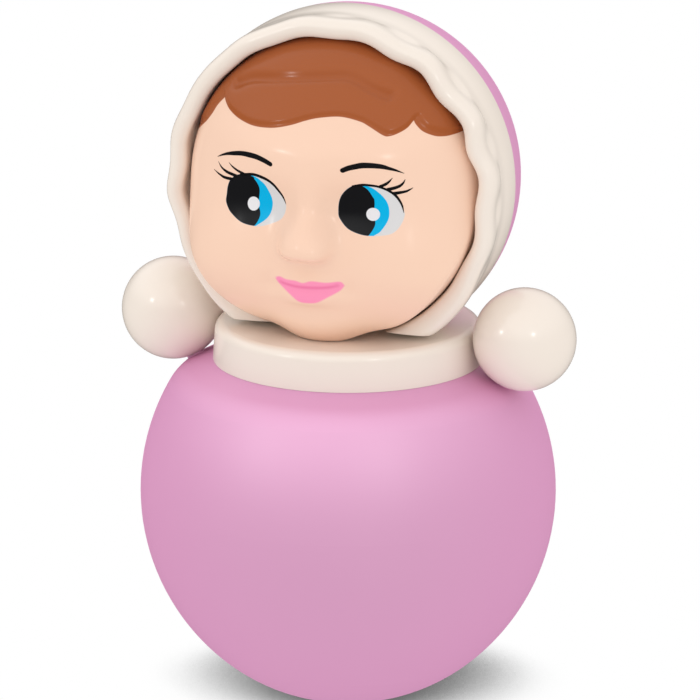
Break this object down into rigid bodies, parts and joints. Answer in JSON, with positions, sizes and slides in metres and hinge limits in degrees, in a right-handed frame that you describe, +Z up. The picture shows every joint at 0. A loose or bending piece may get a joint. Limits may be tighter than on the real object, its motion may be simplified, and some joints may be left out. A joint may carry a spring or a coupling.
{
  "type": "roly poly toy",
  "caption": "Tilting doll with a weighted round base, shouldered body, collar, ball hands and a hooded, frilled head; rights itself and rings a chime inside when pushed.",
  "frame": {"origin": "middle of the small flat under the round base, where the toy touches the floor when it stands upright", "axes": "+Z up through the head; the doll faces -Y; its left hand is on +X"},
  "size_m": [0.146, 0.128, 0.2191],
  "materials": {
    "pink_plastic": "satin moulded",
    "cream_plastic": "glossy moulded",
    "skin_plastic": "glossy moulded, painted",
    "grey_plastic": "moulded",
    "steel": "zinc plated",
    "cast_iron": "as cast",
    "brass": "turned"
  },
  "bodies": {
    "doll": {"lower_bowl": "pink_plastic", "upper_dome": "pink_plastic", "ballast": "cast_iron", "chime_base": "grey_plastic", "base_screws": "steel", "rod_plate": "steel", "rod_plate_screw": "steel", "chime_rod_1": "steel", "chime_rod_2": "steel", "chime_rod_3": "steel", "chime_rod_4": "steel", "chime_rod_5": "steel", "chime_rod_6": "steel", "chime_rod_7": "steel", "chime_rod_8": "steel", "bridge": "grey_plastic", "bridge_screws": "steel", "hanger_pin": "steel", "neck_tube": "cream_plastic", "neck_nut": "grey_plastic", "collar": "cream_plastic", "hood_back": "pink_plastic", "hood_front": "cream_plastic", "face_mask": "skin_plastic", "hand_left": "cream_plastic", "hand_right": "cream_plastic", "hand_peg_left": "grey_plastic", "hand_peg_right": "grey_plastic", "hand_clip_left": "steel", "hand_clip_right": "steel"},
    "link": {"swing_link": "grey_plastic"},
    "clapper": {"clapper_pin": "steel", "clapper_stem": "steel", "clapper_ball": "brass"}
  },
  "joints": [
    {"name": "link_swing", "type": "hinge", "parent": "doll", "child": "link", "pos_m": [0, 0, 0.0863], "axis": [1, 0, 0], "range_deg": [-7.7, 7.7]},
    {"name": "clapper_swing", "type": "hinge", "parent": "link", "child": "clapper", "pos_m": [0, 0, 0.0783], "axis": [0, 1, 0], "range_deg": [-9.9, 9.9]}
  ]
}
